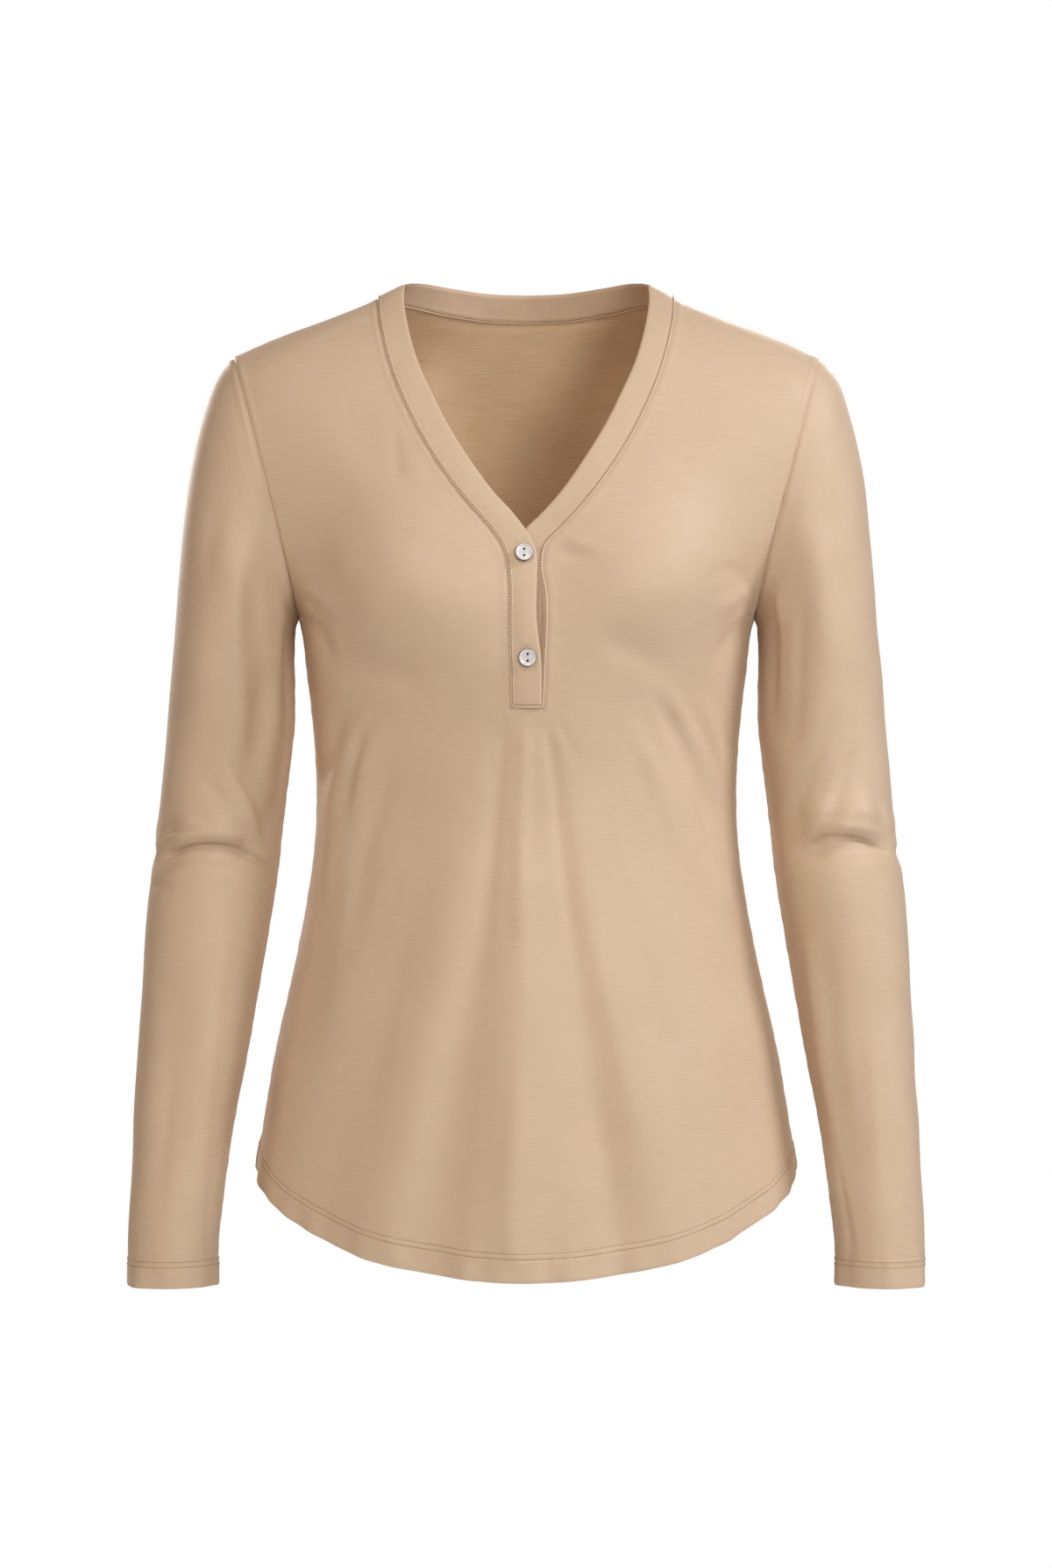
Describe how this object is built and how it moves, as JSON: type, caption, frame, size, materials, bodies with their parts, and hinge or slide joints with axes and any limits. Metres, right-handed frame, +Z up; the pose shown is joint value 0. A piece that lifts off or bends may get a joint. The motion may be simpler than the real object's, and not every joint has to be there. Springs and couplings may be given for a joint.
{
  "type": "blouse",
  "caption": "Long-sleeved pullover blouse in soft jersey with a V neckline, a raised neckband, a short buttoned placket and a curved shirt-tail hem, filled out and hollow.",
  "frame": {"origin": "midway between the two high shoulder points, where the neckband meets the shoulder seams; the wearer's shoulders hold the blouse there", "axes": "+Z up; the front faces -Y; +X towards the wearer's left arm"},
  "size_m": [0.5216, 0.2532, 0.6606],
  "materials": {
    "jersey": "smooth knitted jersey with a low satin sheen",
    "band": "the same jersey, folded double and edge-stitched",
    "pearl": "polished white with a soft pearly shine"
  },
  "bodies": {
    "root": {"front": "jersey", "back": "jersey", "sleeve_right": "jersey", "sleeve_left": "jersey", "neckband": "band", "button_upper": "pearl", "button_lower": "pearl"}
  },
  "joints": []
}
